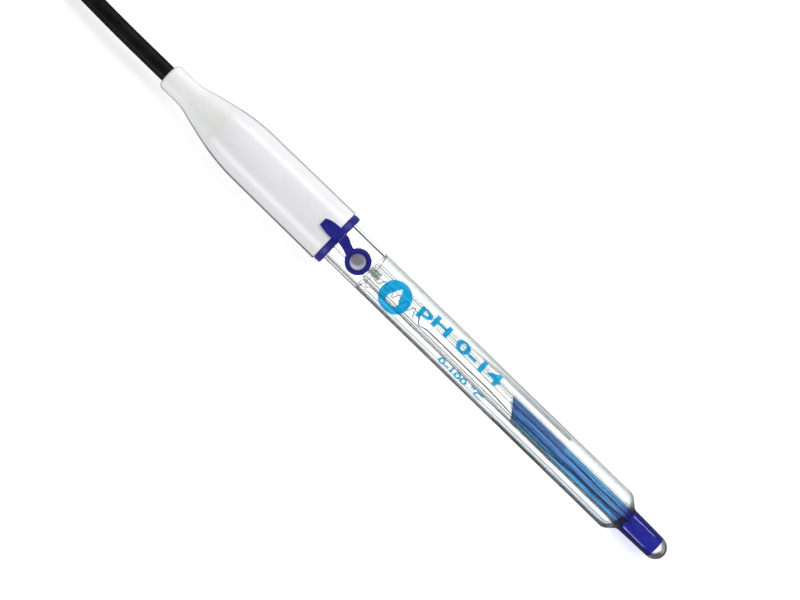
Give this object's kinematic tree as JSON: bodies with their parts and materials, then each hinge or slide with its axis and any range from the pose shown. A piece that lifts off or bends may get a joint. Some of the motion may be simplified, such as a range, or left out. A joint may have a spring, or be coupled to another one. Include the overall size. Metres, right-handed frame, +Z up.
{
  "type": "ph electrode",
  "caption": "Glass combination pH electrode with white cap, blue silicone fill-hole stopper, blue gel filling, and a cable with a bayonet plug.",
  "frame": {"origin": "on the surface that the electrode lies on, under the middle of the electrode without its cable", "axes": "+X along the electrode towards its glass tip, +Z up, fill-hole stopper on top"},
  "size_m": [0.3973, 0.0348, 0.0173],
  "materials": {
    "cap_plastic": "satin white moulding",
    "boot_plastic": "soft translucent grey-white",
    "resin": "cast resin",
    "seal_rubber": "grey seal",
    "glass": "clear blown glass",
    "membrane_glass": "thin domed glass",
    "clear_filling": "clear liquid",
    "blue_gel": "clear blue gel",
    "glass_wool": "grey-green wadding",
    "silver_wire": "drawn silver wire",
    "black_wire": "black coated wire",
    "ceramic": "porous ceramic",
    "clear_film": "clear film",
    "blue_silicone": "deep blue silicone",
    "core_plastic": "insulated core",
    "tinned_metal": "tinned copper",
    "cable_jacket": "black jacket",
    "tie_fabric": "black woven strap",
    "boot_rubber": "black moulded boot",
    "nickel": "nickel plate",
    "white_insulator": "white insulator",
    "gold": "gold plate",
    "gasket_rubber": "red-brown gasket",
    "spring_steel": "spring steel"
  },
  "bodies": {
    "electrode": {"cap": "cap_plastic", "boot": "boot_plastic", "potting": "resin", "top_seal": "seal_rubber", "tube_plug": "seal_rubber", "outer_tube": "glass", "inner_tube": "glass", "membrane": "membrane_glass", "electrolyte": "clear_filling", "inner_gel": "blue_gel", "fibre_plug": "glass_wool", "lead_coil": "silver_wire", "element_wire": "black_wire", "return_wire": "silver_wire", "reference_wire": "silver_wire", "junction": "ceramic", "print_film": "clear_film", "stopper_band": "blue_silicone", "cable_core": "core_plastic", "core_splice": "tinned_metal", "shield_pigtail": "tinned_metal", "shield_splice": "tinned_metal", "cable": "cable_jacket", "cable_hank": "cable_jacket", "cable_tail": "cable_jacket", "hank_tie": "tie_fabric", "plug_boot": "boot_rubber", "plug_ferrule": "nickel", "plug_body": "nickel", "plug_contact": "nickel", "plug_insulator": "white_insulator", "plug_core": "core_plastic", "plug_pin": "gold", "plug_gasket": "gasket_rubber", "plug_washer": "spring_steel"},
    "stopper": {"fill_stopper": "blue_silicone"},
    "coupling": {"plug_sleeve": "nickel"}
  },
  "joints": [
    {"name": "stopper_lift", "type": "hinge", "parent": "electrode", "child": "stopper", "pos_m": [-0.02773, 0, 0.01673], "axis": [0, -1, 0], "range_deg": [0, 110]},
    {"name": "coupling_turn", "type": "hinge", "parent": "electrode", "child": "coupling", "pos_m": [-0.1224, 0.019, 0.00725], "axis": [1, 0, 0], "continuous": true}
  ]
}
